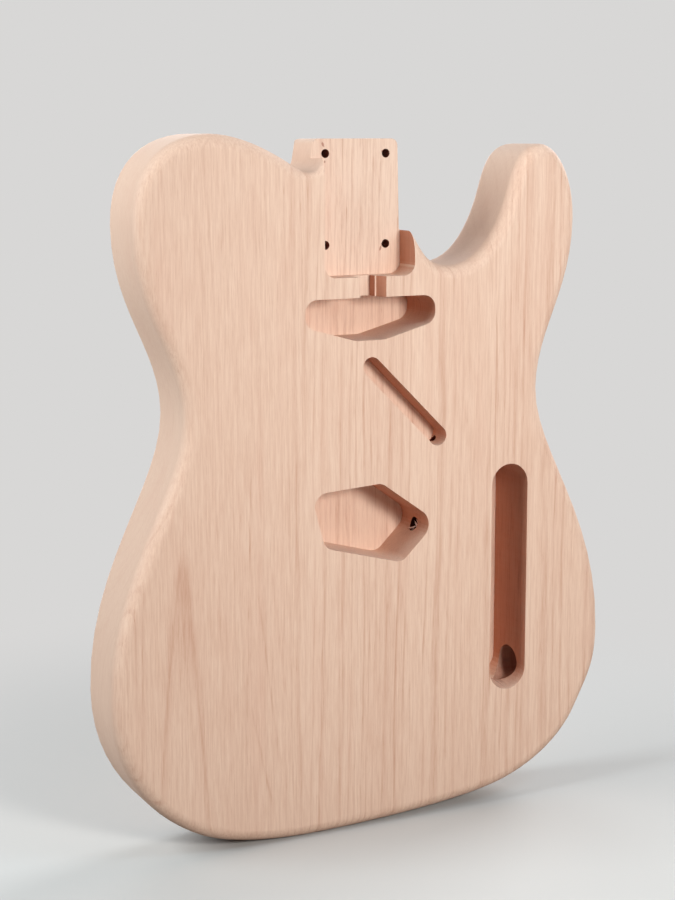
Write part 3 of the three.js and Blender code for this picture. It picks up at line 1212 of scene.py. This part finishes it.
def centre_wood() -> WoodFinish:
    """The centre plank's wood: even stripes, with torn grain at the neck's screw holes.

    Returns:
        The finish.
    """
    return WoodFinish(
        "centre_wood",
        heart=(210, 120),
        lean=(0.012, 0.0),
        years=Years(ring=5.6, depth=0.24, wander=2.6),
        seed=8.4,
        pore_lines=(
            PoreLine((18, -205), (23, -350), 1.2, 5.0, 0.26),
            PoreLine((24, -198), (38, -268), 1.2, 0.5, 0.22),
            PoreLine((-20.5, -200), (-20, -350), 1.2, 0.3, 0.26),
            PoreLine((-2.5, -208), (-1, -300), 1.0, 0.4, 0.2),
            PoreLine((7, -225), (4, -350), 1.2, -0.5, 0.22),
            PoreLine((45, -190), (46, -350), 1.0, 0.5, 0.14),
            PoreLine((-30, -200), (-29, -300), 1.0, 0.5, 0.18),
        ),
        streaks=(
            Streak(64, 20.0, -400, 60, -0.03, 0.6),
            Streak(15, 30.0, -400, -200, 0.05),
        ),
        torn=Torn(
            spots=(
                TornSpot(-20.6, 30.3, 0.9, 1.7, 0.35),
                TornSpot(-19.4, 20.9, 0.6, 0.9),
                TornSpot(17.2, 26.4, 1.2, 1.2),
                TornSpot(15.8, -28.0, 0.8, 1.9, -0.25),
                TornSpot(16.6, -26.0, 0.7, 0.9),
            ),
            holes=NECK_SCREWS,
        ),
    )


def treble_wood() -> WoodFinish:
    """The treble plank's wood: even stripes and two short dark lines.

    Returns:
        The finish.
    """
    return WoodFinish(
        "treble_wood",
        heart=(-160, 150),
        lean=(0.01, 0.01),
        years=Years(ring=6.5, depth=0.26, wander=2.4),
        seed=5.2,
        pore_lines=(
            PoreLine((81.4, -235), (81.2, -305), 1.0, 0.0, 0.7),
            PoreLine((82, -60), (85, -128), 0.9, 0.0, 0.4),
        ),
    )


def splinter_wood(plank: WoodFinish) -> WoodFinish:
    """The pale wood of the splinters: newly torn, and paler still as a painted highlight where they
    sit in the wall's shade.

    Args:
        plank: The wood that they were torn from.

    Returns:
        The finish.
    """
    return WoodFinish(
        "splinter_wood",
        heart=plank.heart,
        lean=plank.lean,
        years=Years(ring=plank.years.ring, depth=0.1),
        seed=2.2,
        # Paler than the plank's wood: partly newly torn wood, partly a painted highlight.
        pale=linear(255, 222, 208),
        dark=linear(225, 172, 156),
    )


@dataclass
class GluedBody:
    """The three planks side by side, with the splinters at the bridge pickup's wire hole, which a
    drill bored.
    """

    bass_line: float = WORK.neck_line - 41.8 * MM
    treble_line: float = WORK.neck_line + 80 * MM

    def build(self) -> list[bpy.types.Object]:
        """Builds the planks from the bass side to the treble side, then the splinters.

        Returns:
            The pieces.
        """
        both = (self.bass_line, self.treble_line)
        centre = centre_wood()
        pieces = []
        for node, finish in (
            ("bass_plank", bass_wood()),
            ("centre_plank", centre),
            ("treble_plank", treble_wood()),
        ):
            pieces.append(Plank(f"{node}_body", node, finish.name, finish, both).build())
        pieces.append(TornHole(splinter_wood(centre)).build())
        return pieces


@dataclass(frozen=True)
class Lamp:
    """One soft lamp."""

    name: str
    place: Triple
    size: float
    power: float
    colour: Triple = (1.0, 1.0, 1.0)

    def hang(self, aim: Vector) -> None:
        """Hangs the lamp.

        Args:
            aim: What it points at.
        """
        data = bpy.data.lights.new(self.name, "AREA")
        data.shape = "SQUARE"
        data.size = self.size
        data.energy = self.power
        data.color = self.colour
        lamp = bpy.data.objects.new(self.name, data)
        lamp.location = self.place
        towards = aim - Vector(self.place)
        lamp.rotation_euler = towards.to_track_quat("-Z", "Y").to_euler()
        bpy.context.scene.collection.objects.link(lamp)


@dataclass
class Studio:
    """A pale floor that runs into a plain backdrop, with soft lamps.

    The floor throws back less light than it shows, so that the body's lower edge stays dark.
    """

    reach: float = 12.0
    middle: Vector = field(default_factory=lambda: Vector((0.0, 0.0, 0.22)))
    floor_colour: Triple = (0.57, 0.555, 0.545)
    floor_bounce: Triple = (0.24, 0.22, 0.205)
    backdrop: Triple = linear(216, 215, 214)
    backdrop_from: Pair = (0.2, 0.5)
    floor_roughness: float = 0.9
    ambient: float = 0.15
    lamps: tuple[Lamp, ...] = (
        Lamp("key", (0.09, -0.85, 0.43), 0.2, 5.7, (1.0, 0.985, 0.94)),
        Lamp("left", (-0.97, 0.06, 0.82), 0.7, 11.9, (0.87, 0.97, 1.0)),
        Lamp("top", (0.3, -0.43, 0.67), 0.25, 1.0, (0.6, 0.85, 1.0)),
        Lamp("right", (1.25, 0.55, 0.95), 0.7, 14.0, (0.95, 0.98, 1.0)),
        Lamp("back", (0.3, 1.5, 0.8), 0.8, 9.0),
    )

    def seen(self, sheet: Sheet) -> Signal:
        """Tells whether the camera sees a place, directly, in a gloss or through glass.

        Args:
            sheet: The sheet of the floor or the world.

        Returns:
            1 where it is seen, 0 where it only gives light.
        """
        camera = sheet.node("ShaderNodeLightPath", output="Is Camera Ray")
        rays = camera.socket.node.outputs
        gloss = Signal(sheet, rays["Is Glossy Ray"])
        glass = Signal(sheet, rays["Is Transmission Ray"])
        return camera.most(gloss).most(glass)

    def floor(self) -> None:
        """Lays the floor. It takes the shadow near the body and fades into the backdrop."""
        sheet = Sheet(bpy.data.materials.new("studio_floor"))
        place = sheet.node("ShaderNodeTexCoord", output="Object")
        away = sheet.node("ShaderNodeVectorMath", {"operation": "LENGTH"}, {0: place}, "Value")
        seen = self.seen(sheet)
        colour = sheet.tint(seen, self.floor_bounce, self.floor_colour)
        paint = sheet.node(
            "ShaderNodeBsdfPrincipled",
            None,
            {"Base Color": colour, "Roughness": self.floor_roughness, "Specular IOR Level": 0.0},
        )
        plain = sheet.node("ShaderNodeEmission", None, {"Color": (*self.backdrop, 1.0)})
        faded = away.ramp(*self.backdrop_from) * seen
        both = sheet.node("ShaderNodeMixShader", None, {0: faded, 1: paint, 2: plain})
        sheet.node("ShaderNodeOutputMaterial", None, {"Surface": both})

        mesh = bpy.data.meshes.new("floor")
        far = self.reach
        corners = [(-far, -far, 0), (far, -far, 0), (far, far, 0), (-far, far, 0)]
        mesh.from_pydata(corners, [], [(0, 1, 2, 3)])
        mesh.materials.append(sheet.owner)
        floor = bpy.data.objects.new("floor", mesh)
        bpy.context.scene.collection.objects.link(floor)

    def world(self) -> None:
        """Sets the even light all round and the plain backdrop that the camera sees."""
        sheet = Sheet(bpy.data.worlds.new("studio"))
        even = sheet.node("ShaderNodeBackground", None, {0: (1.0, 1.0, 1.0, 1.0), 1: self.ambient})
        plain = sheet.node("ShaderNodeBackground", None, {0: (*self.backdrop, 1.0), 1: 1.0})
        either = sheet.node("ShaderNodeMixShader", None, {0: self.seen(sheet), 1: even, 2: plain})
        sheet.node("ShaderNodeOutputWorld", None, {"Surface": either})
        bpy.context.scene.world = sheet.owner

    def build(self) -> None:
        """Sets up the floor, the backdrop and the lamps."""
        self.floor()
        self.world()
        for lamp in self.lamps:
            lamp.hang(self.middle)
        bpy.context.scene.view_settings.view_transform = "Standard"
        LOG.info("studio: floor, backdrop and %d lamps", len(self.lamps))


@dataclass
class PhotoCamera:
    """The camera at the photograph's angle: its place in metres and its turn in degrees."""

    place: Triple = (-0.4707, -0.9127, 0.4004)
    turn: Triple = (80.0984, 0.1055, -26.7164)
    lens: float = 72.0
    sensor: float = 36.0
    sees: Pair = (0.01, 50.0)

    def build(self) -> None:
        """Makes the camera and hands it to the scene."""
        data = bpy.data.cameras.new("camera")
        data.lens = self.lens
        data.sensor_width = self.sensor
        data.clip_start, data.clip_end = self.sees
        camera = bpy.data.objects.new("camera", data)
        camera.location = self.place
        camera.rotation_euler = tuple(math.radians(angle) for angle in self.turn)
        bpy.context.scene.collection.objects.link(camera)
        bpy.context.scene.camera = camera
        LOG.info("camera: %.0f mm lens", self.lens)


def main() -> None:
    """Builds the camera, the body and the studio."""
    logging.basicConfig(level=logging.INFO, format="%(name)s: %(message)s")
    PhotoCamera().build()
    pieces = GluedBody().build()
    LOG.info("body: %d pieces", len(pieces))
    Studio().build()


if __name__ == "__main__":
    main()
